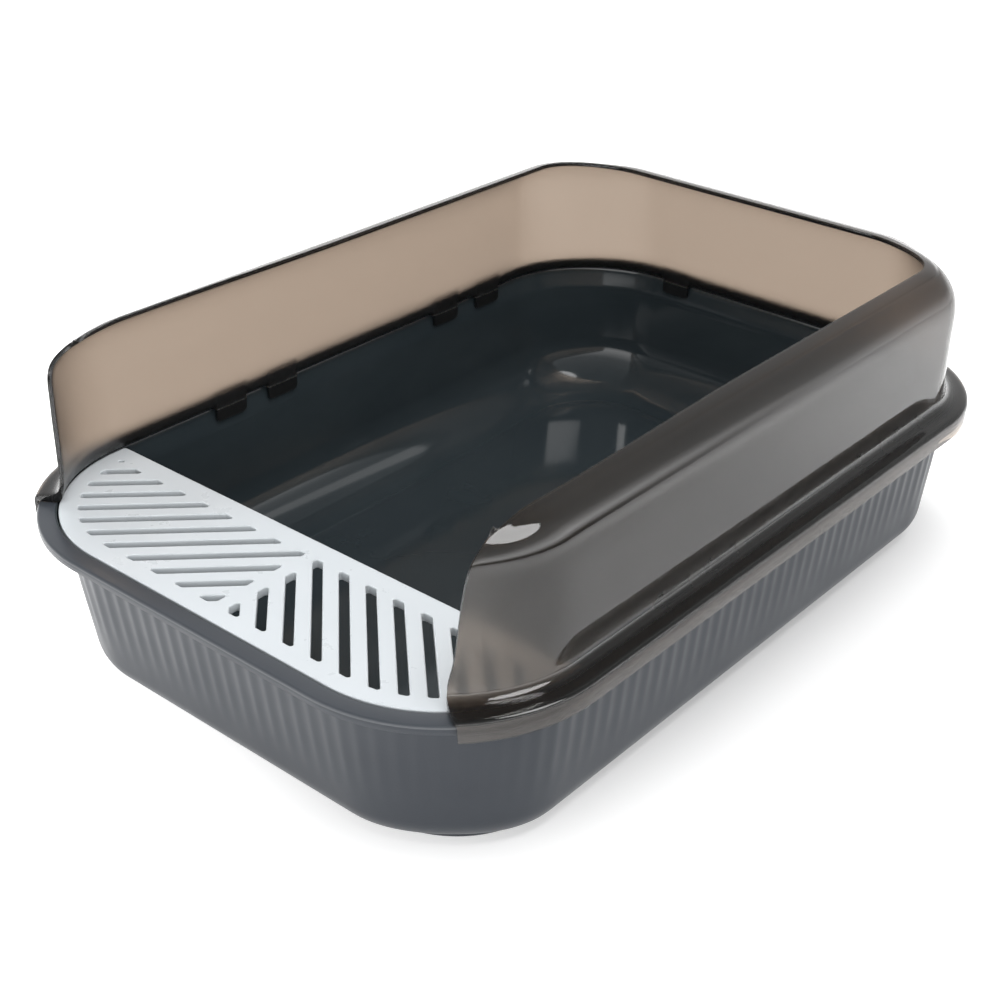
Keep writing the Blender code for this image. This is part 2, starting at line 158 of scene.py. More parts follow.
def noise(nt, tex, scale, detail=3.0, rough=0.5, stretch=None):
    n = nt.nodes.new("ShaderNodeTexNoise")
    n.inputs["Scale"].default_value = scale
    n.inputs["Detail"].default_value = detail
    n.inputs["Roughness"].default_value = rough
    if stretch:
        m = nt.nodes.new("ShaderNodeMapping")
        m.inputs["Scale"].default_value = stretch
        nt.links.new(tex.outputs["Object"], m.inputs["Vector"])
        nt.links.new(m.outputs["Vector"], n.inputs["Vector"])
    else:
        nt.links.new(tex.outputs["Object"], n.inputs["Vector"])
    return n


def ramp(nt, source, stops):
    r = nt.nodes.new("ShaderNodeValToRGB")
    el = r.color_ramp.elements
    while len(el) < len(stops):
        el.new(0.5)
    for e, (pos, col) in zip(el, stops):
        e.position = pos
        e.color = col if len(col) == 4 else (*col, 1.0)
    nt.links.new(source, r.inputs["Fac"])
    return r


def spread(nt, source, lo, hi, from_lo=0.3, from_hi=0.7):
    m = nt.nodes.new("ShaderNodeMapRange")
    m.inputs["From Min"].default_value = from_lo
    m.inputs["From Max"].default_value = from_hi
    m.inputs["To Min"].default_value = lo
    m.inputs["To Max"].default_value = hi
    nt.links.new(source, m.inputs["Value"])
    return m


def bump(nt, bsdf, source, strength, distance):
    b = nt.nodes.new("ShaderNodeBump")
    b.inputs["Strength"].default_value = strength
    b.inputs["Distance"].default_value = distance
    nt.links.new(source, b.inputs["Height"])
    nt.links.new(b.outputs["Normal"], bsdf.inputs["Normal"])
    return b


def tray_material(name, dark, light, rough_lo, rough_hi, grain, sheen=0.5):
    """Dark moulded plastic: faint flow marks in the colour and the gloss."""
    mat, nt, bsdf, tex = new_material(name)
    flow = noise(nt, tex, 9.0, 4.0, 0.55, (1.0, 1.0, 2.5))
    col = ramp(nt, flow.outputs["Fac"], [(0.30, dark), (0.70, light)])
    nt.links.new(col.outputs["Color"], bsdf.inputs["Base Color"])
    patch = noise(nt, tex, 26.0, 5.0, 0.6)
    r = spread(nt, patch.outputs["Fac"], rough_lo, rough_hi)
    nt.links.new(r.outputs["Result"], bsdf.inputs["Roughness"])
    fine = noise(nt, tex, 900.0, 2.0, 0.5)
    bump(nt, bsdf, fine.outputs["Fac"], grain, 0.0004)
    bsdf.inputs["IOR"].default_value = 1.49
    bsdf.inputs["Specular IOR Level"].default_value = sheen
    return mat


def surround_material(name):
    """Smoke-tinted clear plastic; the tint is absorption in its thickness.

    One material for the whole shell: the attribute "inner" turns the polished
    outer skin into the satin inner skin.
    """
    mat, nt, bsdf, tex = new_material(name)
    bsdf.inputs["IOR"].default_value = 1.62
    patch = noise(nt, tex, 30.0, 4.0, 0.6)
    outer = spread(nt, patch.outputs["Fac"], SUR_ROUGH_OUT[0], SUR_ROUGH_OUT[1])
    inner = spread(nt, patch.outputs["Fac"], SUR_ROUGH_IN[0], SUR_ROUGH_IN[1])
    side = nt.nodes.new("ShaderNodeAttribute")
    side.attribute_name = "inner"
    mix = nt.nodes.new("ShaderNodeMix")
    mix.data_type = 'FLOAT'
    nt.links.new(side.outputs["Fac"], mix.inputs["Factor"])
    nt.links.new(outer.outputs["Result"], mix.inputs["A"])
    nt.links.new(inner.outputs["Result"], mix.inputs["B"])
    nt.links.new(mix.outputs["Result"], bsdf.inputs["Roughness"])
    # the clip tongues hang below the rim on the inside: drawn opaque and near black, painted shade for the dark gap
    # they sit in
    place = nt.nodes.new("ShaderNodeSeparateXYZ")
    nt.links.new(tex.outputs["Object"], place.inputs["Vector"])
    below = spread(nt, place.outputs["Z"], 1.0, 0.0, Z_RIM + 0.0001, Z_RIM + 0.0003)
    tongue_shade_mask = nt.nodes.new("ShaderNodeMath")
    tongue_shade_mask.operation = 'MULTIPLY'
    nt.links.new(below.outputs["Result"], tongue_shade_mask.inputs[0])
    nt.links.new(side.outputs["Fac"], tongue_shade_mask.inputs[1])
    clear = spread(nt, tongue_shade_mask.outputs["Value"], 1.0 - SUR_HAZE_SHARE, 0.0, 0.0, 1.0)
    nt.links.new(clear.outputs["Result"], bsdf.inputs["Transmission Weight"])
    # near black on the tongues is painted shade
    shade = ramp(nt, tongue_shade_mask.outputs["Value"], [(0.0, SUR_HAZE), (1.0, (0.006, 0.006, 0.006, 1.0))])
    nt.links.new(shade.outputs["Color"], bsdf.inputs["Base Color"])
    vol = nt.nodes.new("ShaderNodeVolumeAbsorption")
    vol.inputs["Color"].default_value = SUR_TINT
    vol.inputs["Density"].default_value = SUR_DENSITY
    nt.links.new(vol.outputs["Volume"], nt.nodes["Material Output"].inputs["Volume"])
    return mat


def grate_material():
    mat, nt, bsdf, tex = new_material("grate_pale_plastic")
    flow = noise(nt, tex, 14.0, 4.0, 0.5, (1.0, 1.6, 1.0))
    col = ramp(nt, flow.outputs["Fac"], [(0.30, (0.500, 0.532, 0.556)), (0.70, (0.522, 0.554, 0.578))])
    nt.links.new(col.outputs["Color"], bsdf.inputs["Base Color"])
    patch = noise(nt, tex, 60.0, 4.0, 0.6)
    r = spread(nt, patch.outputs["Fac"], 0.26, 0.36)
    nt.links.new(r.outputs["Result"], bsdf.inputs["Roughness"])
    fine = noise(nt, tex, 1200.0, 2.0, 0.5)
    bump(nt, bsdf, fine.outputs["Fac"], 0.10, 0.0002)
    bsdf.inputs["IOR"].default_value = 1.49
    return mat


TRAY_OUT = tray_material("tray_outside_satin", (0.0240, 0.0290, 0.0375), (0.0288, 0.0342, 0.0430), 0.30, 0.40, 0.10, 0.36)
# the rim top is the same plastic as the outside, drawn lighter and glossier: painted light on the top face
TRAY_RIM_LIT_COPY = tray_material("tray_rim_satin_painted_light", (0.0330, 0.0388, 0.0478), (0.0380, 0.0440, 0.0530), 0.28, 0.36, 0.05, 0.95)
# inside: the same plastic drawn a touch darker than the outside, painted shade for the interior; the higher gloss is
# its own finish
TRAY_IN = tray_material("tray_inside_gloss", (0.0215, 0.0285, 0.0330), (0.0270, 0.0350, 0.0395), 0.075, 0.11, 0.0)
SURROUND = surround_material("surround_smoke_plastic")
GRATE = grate_material()


# ---------------------------------------------------------------- outline path
def arc_station(cx, cy, radius, deg, face, s):
    a = math.radians(deg)
    n = Vector((math.cos(a), math.sin(a), 0.0))
    w = math.cos(a) ** 2
    return (Vector((cx, cy, 0.0)) + n * radius, n, {"side": w, face: 1.0 - w}, s)


def tray_path():
    """Closed outline with a rib phase for each station, right side first."""
    st = []
    per = 10                       # stations for one rib
    ys = (Y_REAR + Y_FRONT) / 2
    phase0 = 0.25

    def phase_side(y):
        return (y - ys) / RIB_PITCH_SIDE + phase0

    ph = phase_side(CY_F)
    n = int(round((CY_R - CY_F) / RIB_PITCH_SIDE * per))
    side = [CY_F + (CY_R - CY_F) * i / n for i in range(n + 1)]
    arc_r = int(round(R_REAR * math.pi / 2 / 0.0109 * per / 1.25))
    arc_f = int(round(R_FRONT * math.pi / 2 / 0.0109 * per / 1.25))
    half_f = int(round(CX_F / RIB_PITCH_FRONT * per))
    half_r = int(round(CX_R / RIB_PITCH_FRONT * per))
    # the right half, from the middle of the front to the middle of the rear
    right = []
    x_phase_end = CX_F / RIB_PITCH_FRONT
    for i in range(half_f + 1):
        x = CX_F * i / half_f
        right.append((Vector((x, Y_FRONT, 0)), Vector((0, -1, 0)), {"front": 1.0}, x / RIB_PITCH_FRONT))
    # the arcs stretch or squeeze the pitch a little, so the phases meet
    target = phase_side(CY_F)
    base = x_phase_end + R_FRONT * math.pi / 2 / 0.0109
    shift = round(base - target)
    turns_f = target + shift - x_phase_end
    for i in range(1, arc_f + 1):
        a = 270.0 + 90.0 * i / arc_f
        right.append(arc_station(CX_F, CY_F, R_FRONT, a, "front", x_phase_end + turns_f * i / arc_f))
    for y in side[1:]:
        right.append((Vector((HALF_W, y, 0)), Vector((1, 0, 0)), {"side": 1.0}, phase_side(y) + shift))
    end = phase_side(CY_R) + shift
    want = -CX_R / RIB_PITCH_FRONT
    turns = R_REAR * math.pi / 2 / 0.0109
    k = round(end + turns - want)
    turns_r = want + k - end
    for i in range(1, arc_r + 1):
        a = 90.0 * i / arc_r
        right.append(arc_station(CX_R, CY_R, R_REAR, a, "rear", end + turns_r * i / arc_r))
    for i in range(1, half_r + 1):
        x = CX_R * (1 - i / half_r)
        right.append((Vector((x, Y_REAR, 0)), Vector((0, 1, 0)), {"rear": 1.0}, k - x / RIB_PITCH_FRONT))
    st = list(right)
    for p, nn, w, s in reversed(right[1:-1]):
        st.append((Vector((-p.x, p.y, 0)), Vector((-nn.x, nn.y, 0)), w, s))
    return st


def at(station, offset, z, corner=None, extra=0.0):
    p, n, weights, _ = station
    off = sum(w * offset[k] for k, w in weights.items()) + extra
    zz = sum(w * z[k] for k, w in weights.items())
    if corner:
        w = weights.get("side", 0.0)
        for k in weights:
            if k in corner:
                off -= corner[k] * 4 * w * (1 - w)
    return p + n * off + Vector((0, 0, zz))


def same(off, z):
    return (dict(side=off, front=off, rear=off), dict(side=z, front=z, rear=z))


def fillet(foot, top, z0, z1, radius, steps):
    lean = math.atan2(top - foot, z1 - z0)
    turn = math.pi / 2 - lean
    tangent = radius * math.tan(turn / 2)
    return [(foot - tangent + radius * math.sin(turn * i / steps),
             z0 + radius * (1 - math.cos(turn * i / steps))) for i in range(steps + 1)]


# --------------------------------------------------------------------- the tray
def rib_height(station, z):
    """Outward height of the ribs: gone at the top edge and towards the foot."""
    w = station[2].get("side", 0.0)
    mid = 4 * w * (1 - w)
    fade = smoothstep(0.0220, 0.0560, z) * (1 - smoothstep(0.0868, 0.0892, z))
    fade *= 1.0 - 0.45 * mid * ("front" in station[2])
    t = station[3] - math.floor(station[3])
    crest = 1.0 - abs(math.sin(math.pi * t)) ** 1.6
    return RIB_HEIGHT * fade * (2 * crest - 1)


def build_tray():
    faces3 = ("side", "front", "rear")
    rows, corners, ribbed, inside_from = [], {}, set(), None

    def row(off, z, part=None, rib=False):
        if part is not None:
            corners[len(rows)] = {k: CORNER_FOOT[k] + (CORNER_TOP[k] - CORNER_FOOT[k]) * part
                                  for k in CORNER_FOOT}
        if rib:
            ribbed.add(len(rows))
        rows.append((off, z))

    def add(d, v):
        return {k: d[k] + v for k in d}

    level = lambda v: {k: v for k in faces3}
    # underside: panel, foot bead with rounded edges
    row(add(FOOT_OUT, -FOOT_WIDTH - 0.0010), level(PANEL_Z))
    row(add(FOOT_OUT, -FOOT_WIDTH - 0.0008), level(PANEL_Z - 0.0004))
    row(add(FOOT_OUT, -FOOT_WIDTH - 0.0002), level(0.0005))
    row(add(FOOT_OUT, -FOOT_WIDTH + 0.0006), level(0.0))
    row(add(FOOT_OUT, -0.0018), level(0.0))
    row(add(FOOT_OUT, -0.0009), level(0.0003))
    row(add(FOOT_OUT, -0.0003), level(0.0010))
    row(dict(FOOT_OUT), level(BASE_Z + 0.0003))
    # bottom fillet and fluted wall
    steps = 14
    arcs = {k: fillet(WALL_FOOT[k], WALL_TOP[k], BASE_Z, DRAFT_TOP_Z, FILLET_OUT, steps) for k in faces3}
    for i in range(4, steps + 1):
        row({k: arcs[k][i][0] for k in faces3}, {k: arcs[k][i][1] for k in faces3},
            arcs["side"][i][1] / DRAFT_TOP_Z, True)
    last = {k: arcs[k][steps] for k in faces3}
    for i in range(1, 27):
        u = i / 26
        u = 1 - (1 - u) ** 1.15
        row({k: last[k][0] + (WALL_TOP[k] - last[k][0]) * u for k in faces3},
            {k: last[k][1] + (DRAFT_TOP_Z - last[k][1]) * u for k in faces3},
            (last["side"][1] + (DRAFT_TOP_Z - last["side"][1]) * u) / DRAFT_TOP_Z, True)

    def rim(off, z):
        corners[len(rows)] = {"rear": RIM_CUT if off > 0.0030 else 0.0}
        rows.append(same(off, z))

    rim(0.0016, 0.0901)
    rim(0.0022, 0.0908)
    rim(0.0022, 0.0950)
    rim(0.0027, 0.0955)
    rim(0.0082, 0.0955)
    rim(0.0088, 0.0950)
    rim(RIM_OUT - 0.0023, RIM_LIP_Z + 0.0004)
    rim(RIM_OUT - 0.0019, RIM_LIP_Z)
    rim(RIM_OUT - 0.0005, RIM_LIP_Z)
    rim(RIM_OUT - 0.0001, RIM_LIP_Z + 0.0004)
    rr = 0.0017
    rim_from = len(rows)
    for i in range(7):
        a = math.radians(90.0 * i / 6)
        rim(RIM_OUT - rr + rr * math.cos(a), Z_RIM - rr + rr * math.sin(a))
    inside_from = len(rows)
    rim(0.0009, Z_RIM)
    rim(0.0003, Z_RIM - 0.0002)
    rim(0.0, Z_RIM - 0.0007)
    rows.append(same(0.0, LEDGE_Z + 0.0003))
    rows.append(same(-0.0004, LEDGE_Z))
    ledge_row = len(rows)
    rows.append(same(-LEDGE_IN + 0.0003, LEDGE_Z))
    row(*same(-LEDGE_IN, LEDGE_Z - 0.0004), 1.0)
    row(*same(-LEDGE_IN - 0.0002, 0.0855), 1.0)
    coves = {}
    csteps = 22
    for k in faces3:
        slope = (WALL_TOP[k] - WALL_FOOT[k]) / (DRAFT_TOP_Z - BASE_Z)
        foot = WALL_FOOT[k] + slope * (FLOOR_Z - BASE_Z) - WALL_T
        coves[k] = fillet(foot, WALL_TOP[k] - WALL_T, FLOOR_Z, DRAFT_TOP_Z, COVE_IN, csteps)
    top = {k: (-LEDGE_IN - 0.0002, 0.0855) for k in faces3}
    low = {k: coves[k][csteps] for k in faces3}
    for i in range(1, 7):
        u = i / 7
        row({k: top[k][0] + (low[k][0] - top[k][0]) * u for k in faces3},
            {k: top[k][1] + (low[k][1] - top[k][1]) * u for k in faces3},
            (0.0855 + (low["side"][1] - 0.0855) * u) / DRAFT_TOP_Z)
    for i in reversed(range(csteps + 1)):
        row({k: coves[k][i][0] for k in faces3}, {k: coves[k][i][1] for k in faces3},
            coves["side"][i][1] / DRAFT_TOP_Z)

    stations = tray_path()
    bm = bmesh.new()
    rings = []
    for j, (off, z) in enumerate(rows):
        ring = []
        for st in stations:
            extra = 0.0
            if j in ribbed:
                zz = sum(w * z[k] for k, w in st[2].items())
                extra = rib_height(st, zz)
            p = at(st, off, z, corners.get(j), extra)
            if p.y > LEDGE_Y and inside_from <= j < inside_from + len(PLAIN_TOP):
                # no ledge behind the grate: the wall rises straight to the rim
                p = at(st, *same(*PLAIN_TOP[j - inside_from]), corners.get(j))
            ring.append(bm.verts.new(p))
        rings.append(ring)
    count = len(stations)
    for j, (a, b) in enumerate(zip(rings, rings[1:])):
        for i in range(count):
            k = (i + 1) % count
            f = bm.faces.new((a[i], a[k], b[k], b[i]))
            # index 2 is the rim top, in the lighter copy of the plastic (painted light)
            f.material_index = 1 if j >= inside_from else 2 if j >= rim_from else 0
    bm.faces.new(list(reversed(rings[0])))
    f = bm.faces.new(rings[-1])
    f.material_index = 1
    return to_object("tray_shell", bm, [TRAY_OUT, TRAY_IN, TRAY_RIM_LIT_COPY], 50.0)


def build_tray_wall_skin():
    """Gloss skin on the straight part of the inner wall, above the cove."""
    faces3 = ("side", "front", "rear")
    low = {}
    for k in faces3:
        slope = (WALL_TOP[k] - WALL_FOOT[k]) / (DRAFT_TOP_Z - BASE_Z)
        foot = WALL_FOOT[k] + slope * (FLOOR_Z - BASE_Z) - WALL_T
        low[k] = fillet(foot, WALL_TOP[k] - WALL_T, FLOOR_Z, DRAFT_TOP_Z, COVE_IN, 1)[1]
    bm = bmesh.new()
    rings = []
    for u in (0.06, 0.5, 0.995):
        off = {k: -LEDGE_IN - 0.0002 + (low[k][0] + LEDGE_IN + 0.0002) * u - SKIN for k in faces3}
        z = {k: 0.0855 + (low[k][1] - 0.0855) * u for k in faces3}
        part = z["side"] / DRAFT_TOP_Z
        corner = {k: CORNER_FOOT[k] + (CORNER_TOP[k] - CORNER_FOOT[k]) * part for k in CORNER_FOOT}
        rings.append([bm.verts.new(at(st, off, z, corner)) for st in tray_path()])
    for a, b in zip(rings, rings[1:]):
        for i in range(len(a)):
            k = (i + 1) % len(a)
            bm.faces.new((a[i], a[k], b[k], b[i]))
    return to_object("tray_wall_skin", bm, [TRAY_IN], None, recalc=False)


# -------------------------------------------------------------------- the grate
def clip_convex(poly, nx, ny, d):
    out = []
    for i, a in enumerate(poly):
        b = poly[(i + 1) % len(poly)]
        da = nx * a[0] + ny * a[1] - d
        db = nx * b[0] + ny * b[1] - d
        if da <= 0:
            out.append(a)
        if (da < 0) != (db < 0) and abs(da - db) > 1e-12:
            t = da / (da - db)
            out.append((a[0] + t * (b[0] - a[0]), a[1] + t * (b[1] - a[1])))
    return out


def slot_cores(shrink):
    """45 degree slots of the right half, each pulled in by `shrink` all round."""
    inner_r = SLOT_OUT_X - CX_F + 0.0030
    polys = []
    s2 = math.sqrt(0.5)
    for k in range(SLOT_COUNT):
        c = SLOT_FIRST - SLOT_PITCH * k
        mid = Vector((c * s2, c * s2))
        along = Vector((s2, -s2))
        whole, core = [], []
        for cut, out in ((0.0, whole), (shrink, core)):
            across = Vector((s2, s2)) * (SLOT_W / 2 - cut)
            a, b = mid + along * 0.6, mid - along * 0.6
            poly = [tuple(p) for p in (a - across, a + across, b + across, b - across)]
            poly = clip_convex(poly, 0, 1, SLOT_REAR_Y - cut)
            poly = clip_convex(poly, 0, -1, -SLOT_FRONT_Y - cut)
            poly = clip_convex(poly, -1, 0, -SLOT_MID_X - cut)
            poly = clip_convex(poly, 1, 0, SLOT_OUT_X - cut)
            for i in range(1, 8):
                ang = math.radians(90.0 * i / 8)
                nx, ny = math.cos(ang), -math.sin(ang)
                poly = clip_convex(poly, nx, ny, nx * CX_F + ny * CY_F + inner_r - cut)
            out.extend(poly)
        if len(whole) < 3 or len(core) < 3:
            continue
        area = sum((p[0] * q[1] - q[0] * p[1]) / 2
                   for p, q in zip(whole, whole[1:] + whole[:1]))
        if abs(area) < 2.0e-5:
            continue
        clean = []
        for p in core:
            if not clean or (Vector(p) - Vector(clean[-1])).length > 1e-5:
                clean.append(p)
        if (Vector(clean[0]) - Vector(clean[-1])).length < 1e-5:
            clean.pop()
        polys.append(clean if area > 0 else clean[::-1])
    return polys


def rounded(core, radius, seg=5):
    """Counter-clockwise convex core grown by a radius, same points for any radius."""
    pts = []
    n = len(core)
    for i, p in enumerate(core):
        a, b = Vector(core[i - 1]), Vector(core[(i + 1) % n])
        p = Vector(p)
        d0, d1 = (p - a).normalized(), (b - p).normalized()
        a0 = math.atan2(-d0.x, d0.y)
        a1 = math.atan2(-d1.x, d1.y)
        while a1 < a0 - 1e-9:
            a1 += 2 * math.pi
        k = seg if a1 - a0 > 0.30 else 1
        for s in range(k + 1):
            a = a0 + (a1 - a0) * s / k
            pts.append((p.x + radius * math.cos(a), p.y + radius * math.sin(a)))
    return pts


def build_grate():
    half = HALF_W - GRATE_GAP
    core_in = 0.0020
    r_arc = R_FRONT - GRATE_GAP - core_in
    core = [(half - core_in, GRATE_REAR_Y - core_in), (-half + core_in, GRATE_REAR_Y - core_in)]
    arc = 30
    core += [(-CX_F + r_arc * math.cos(math.radians(180 + 90 * i / arc)),
              CY_F + r_arc * math.sin(math.radians(180 + 90 * i / arc))) for i in range(arc + 1)]
    core += [(CX_F + r_arc * math.cos(math.radians(270 + 90 * i / arc)),
              CY_F + r_arc * math.sin(math.radians(270 + 90 * i / arc))) for i in range(arc + 1)]

    loops = [(core, core_in, -1)]
    for poly in slot_cores(SLOT_CORNER_R):
        loops.append((poly, SLOT_CORNER_R, 1))
        loops.append(([(-x, y) for x, y in reversed(poly)], SLOT_CORNER_R, 1))
    s2 = math.sqrt(0.5)
    a, b = EYE_LONG / 2 - EYE_R, EYE_WIDE / 2 - EYE_R
    eye = [(EYE_X + s2 * (u + v), EYE_Y + s2 * (v - u)) for u, v in ((-a, -b), (a, -b), (a, b), (-a, b))]
    loops.append((eye, EYE_R, 1))
    loops.append(([(-x, y) for x, y in reversed(eye)], EYE_R, 1))

    bm = bmesh.new()
    levels = []
    q = 4
    for i in range(q + 1):                       # rounded top edge
        a = math.radians(90.0 * i / q)
        levels.append((EDGE_R * (1 - math.sin(a)), Z_RIM - EDGE_R + EDGE_R * math.cos(a)))
    levels.append((0.0, GRATE_BOTTOM + 0.0004))
    levels.append((0.0004, GRATE_BOTTOM))
    tops, bottoms = [], []
    for poly, radius, sense in loops:
        rings = []
        for grow, z in levels:
            pts = rounded(poly, radius + sense * grow)
            rings.append([bm.verts.new((x, y, z)) for x, y in pts])
        n = len(rings[0])
        for a, b in zip(rings, rings[1:]):
            for i in range(n):
                k = (i + 1) % n
                try:
                    bm.faces.new((a[i], a[k], b[k], b[i]))
                except ValueError:
                    pass
        tops.append(rings[0])
        bottoms.append(rings[-1])
    # flat top and underside, with the slots left out
    for group, z in ((tops, Z_RIM), (bottoms, GRATE_BOTTOM)):
        verts, edges, index = [], [], []
        for ring in group:
            start = len(verts)
            verts += [Vector((v.co.x, v.co.y)) for v in ring]
            index += ring
            m = len(ring)
            edges += [(start + i, start + (i + 1) % m) for i in range(m)]
        holes = [[v.co.copy() for v in ring] for ring in group[1:]]
        outv, oute, outf, origv, _, _ = delaunay_2d_cdt(verts, edges, [], 1, 1e-8)
        made = [index[o[0]] if o else None for o in origv]
        boxes = [(min(p.x for p in h), max(p.x for p in h), min(p.y for p in h), max(p.y for p in h), h)
                 for h in holes]
        for tri in outf:
            c = sum((Vector(outv[i]) for i in tri), Vector((0, 0))) / 3
            skip = False
            for x0, x1, y0, y1, h in boxes:
                if x0 < c.x < x1 and y0 < c.y < y1:
                    inside = False
                    m = len(h)
                    for i in range(m):
                        p, r = h[i], h[(i + 1) % m]
                        if (p.y > c.y) != (r.y > c.y):
                            if c.x < (r.x - p.x) * (c.y - p.y) / (r.y - p.y) + p.x:
                                inside = not inside
                    if inside:
                        skip = True
                        break
            if skip:
                continue
            vs = [made[i] for i in tri]
            if None in vs:
                continue
            try:
                bm.faces.new(vs)
            except ValueError:
                pass
    bmesh.ops.remove_doubles(bm, verts=bm.verts[:], dist=1e-7)
    bmesh.ops.recalc_face_normals(bm, faces=bm.faces[:])
    for e in bm.edges:
        if len(e.link_faces) == 2:
            n0, n1 = (f.normal for f in e.link_faces)
            flat = [abs(n.z) > 0.99999 for n in (n0, n1)]
            e.smooth = not (flat[0] != flat[1]) and n0.angle(n1, 0) < math.radians(40)
    obj = to_object("step_grate_plate", bm, [GRATE], None, recalc=False)
    return obj


# ----------------------------------------------------------------- the surround
OUTER = (
    ((13.4, -8.5), (13.4, -8.5), (44.0, 13.4, -8.5)),
    ((13.4, 1.0), (13.4, 1.0), (44.3, 13.4, 1.0)),
    ((12.8, 2.6), (12.8, 2.6), (44.6, 12.8, 2.6)),
    ((11.4, 3.4), (11.4, 3.4), (45.0, 11.4, 3.4)),
    ((4.5, 4.6), (4.5, 4.6), (46.2, 4.5, 4.6)),
    ((0.6, 6.2), (0.3, 6.2), (46.6, 0.6, 6.2)),
    ((-1.2, 8.4), (-1.8, 8.4), (46.9, -1.6, 8.4)),
    ((-1.9, 12.0), (-3.6, 12.0), (46.6, -2.4, 12.0)),
    ((-1.5, 30.0), (-7.0, 30.0), (44.5, -2.1, 27.0)),
    ((-1.0, 52.0), (-10.6, 52.0), (42.9, -1.4, 51.0)),
    ((-0.6, 64.0), (-12.6, 64.5), (41.8, -1.1, 63.9)),
    ((-0.9, 72.0), (-13.9, 72.5), (40.9, -0.8, 71.8)),
    ((-2.6, 79.0), (-16.0, 79.6), (39.7, -1.4, 78.1)),
    ((-6.0, 84.9), (-19.4, 85.3), (38.1, -3.0, 82.2)),
    ((-10.6, 89.2), (-24.6, 90.0), (36.2, -5.3, 85.2)),
    ((-15.8, 92.0), (-32.0, 92.8), (33.8, -7.7, 87.4)),
    ((-18.6, 93.3), (-37.0, 93.7), (31.5, -9.7, 88.8)),
    ((-21.2, 94.0), (-41.7, 94.0), (29.0, -11.7, 89.9)),
)
INNER_FOOT = (
    ((11.55, -8.5), (11.55, -8.5)),
    ((11.55, -0.6), (11.55, -0.6)),
    ((11.55, 0.4), (11.55, 0.4)),
    ((10.0, 0.4), (10.0, 0.4)),
    ((2.5, 0.4), (2.5, 0.4)),
    ((-0.5, 0.6), (-0.5, 0.6)),
    ((-2.8, 2.6), (-3.0, 2.6)),
)
REAR_CUT = (1.0, 1.0, 1.0, 1.0, 1.2, 1.8, 2.2, 2.8, 4.8, 7.0, 8.6, 9.4, 9.6, 9.0, 7.2, 5.2,
            4.0, 3.2)
LIP_WEIGHT = {15: 0.0, 16: 0.5, 17: 1.0}
ROW_STEPS = (3, 2, 2, 4, 3, 3, 3, 5, 5, 4, 4, 4, 4, 4, 4, 4, 3)
END_STEPS, REAR_STEPS = 20, 24


def clip_mark(mark):
    """True where the foot carries a clip tongue, its two edges included."""
    if mark[0] == "side":
        return any(abs(mark[1] - y) < CLIP_HALF + 1e-5 for y in CLIP_Y)
    if mark[0] == "rear":
        return abs(abs(mark[1]) - CLIP_X) < CLIP_X_HALF + 1e-5
    return False


def surround_marks():
    marks = [("end", 1.0 - i / END_STEPS, 1) for i in range(END_STEPS)]
    stops = {CY_F, CY_R}
    for y in CLIP_Y:
        for edge in CLIP_EDGES:
            stops |= {y - CLIP_HALF + edge, y + CLIP_HALF - edge}
    stops = sorted(stops)
    ys = []
    for a, b in zip(stops, stops[1:]):
        ys += steps_between(a, b, 0.0085)
    ys.append(CY_R)
    marks += [("side", y, 1) for y in ys]
    marks += [("corner", 90.0 * i / REAR_STEPS, 1) for i in range(1, REAR_STEPS)]
    stops = {CX_R, -CX_R, 0.0}
    for x in (CLIP_X, -CLIP_X):
        for edge in CLIP_EDGES:
            stops |= {x - CLIP_X_HALF + edge, x + CLIP_X_HALF - edge}
    stops = sorted(stops, reverse=True)
    xs = []
    for a, b in zip(stops, stops[1:]):
        xs += steps_between(a, b, 0.0085)
    xs.append(-CX_R)
    marks += [("rear", x, 1) for x in xs]
    marks += [("corner", 90.0 * i / REAR_STEPS, -1) for i in range(REAR_STEPS - 1, 0, -1)]
    marks += [("side", y, -1) for y in reversed(ys)]
    marks += [("end", (i + 1) / END_STEPS, -1) for i in range(END_STEPS)]
    return marks


def surround_point(mark, side, rear, end, lip, cut):
    """lip is None below the roll, else the share of the lip's taper."""
    kind, amount, sign = mark
    taper = LIP_TAPER * (lip[0] if lip else 0.0)
    if kind == "end":
        s = amount
        phi = math.radians(end[0] * s)
        w0 = s * s * (3 - 2 * s)
        w1 = s ** 2.6
        mixed = lip[1] if lip else 0.0
        w = w0 + (w1 - w0) * mixed
        off = side[0] + (end[1] - side[0]) * w
        z = side[1] + (end[2] - side[1]) * w
        r = R_FRONT + off / 1000.0
        x, y = CX_F + r * math.cos(phi), CY_F - r * math.sin(phi)
    elif kind == "side":
        t = min(1.0, (amount - CY_F) / (CY_R - CY_F) / LIP_TAPER_END)
        off = side[0] + taper * t * t * (3 - 2 * t)
        x, y, z = HALF_W + off / 1000.0, amount, side[1]
    elif kind == "corner":
        a = math.radians(amount)
        w = math.sin(a) ** 2
        start = side[0] + taper
        off = start + (rear[0] - start) * w - cut * 4 * w * (1 - w)
        z = side[1] + (rear[1] - side[1]) * w
        r = R_REAR + off / 1000.0
        x, y = CX_R + r * math.cos(a), CY_R + r * math.sin(a)
    else:
        return Vector((amount, Y_REAR + rear[0] / 1000.0, Z_RIM + rear[1] / 1000.0))
    return Vector((sign * x, y, Z_RIM + z / 1000.0))


